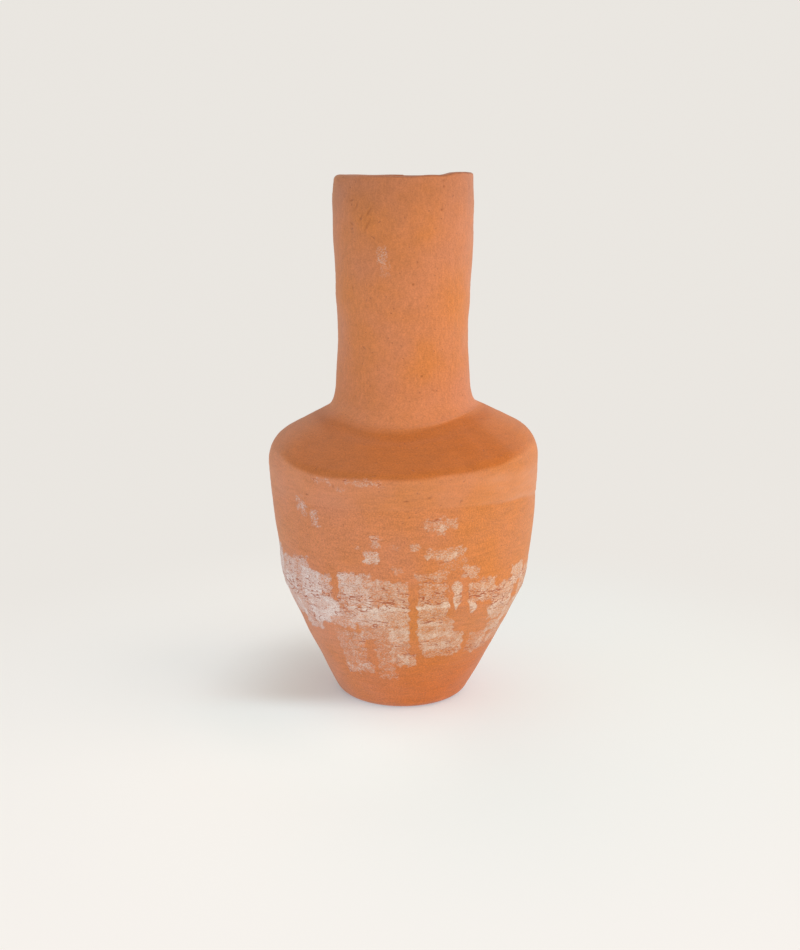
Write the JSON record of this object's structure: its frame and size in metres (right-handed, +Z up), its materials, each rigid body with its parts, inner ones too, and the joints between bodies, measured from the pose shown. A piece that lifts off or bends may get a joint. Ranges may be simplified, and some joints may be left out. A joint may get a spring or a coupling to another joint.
{
  "type": "terracotta jar",
  "caption": "Handle-less long-necked terracotta jar in luted sections, with a flat foot, wide belly, sloping shoulder and rounded lip, worn lime wash round the lower body.",
  "frame": {"origin": "centre of the underside, on the standing face", "axes": "+Z up along the jar's axis, from the foot to the mouth"},
  "size_m": [0.23, 0.23, 0.445],
  "materials": {
    "clay_foot": "matte",
    "clay_body": "matte",
    "clay_shoulder": "matte",
    "clay_neck": "matte",
    "clay_inside": "matte"
  },
  "bodies": {
    "root": {"floor_disc": "clay_foot", "base_coil": "clay_inside", "lower_wall": "clay_body", "waist_coil": "clay_inside", "belly_wall": "clay_body", "shoulder_coil": "clay_inside", "shoulder": "clay_shoulder", "collar_coil": "clay_neck", "neck": "clay_neck", "rim": "clay_neck"}
  },
  "joints": []
}
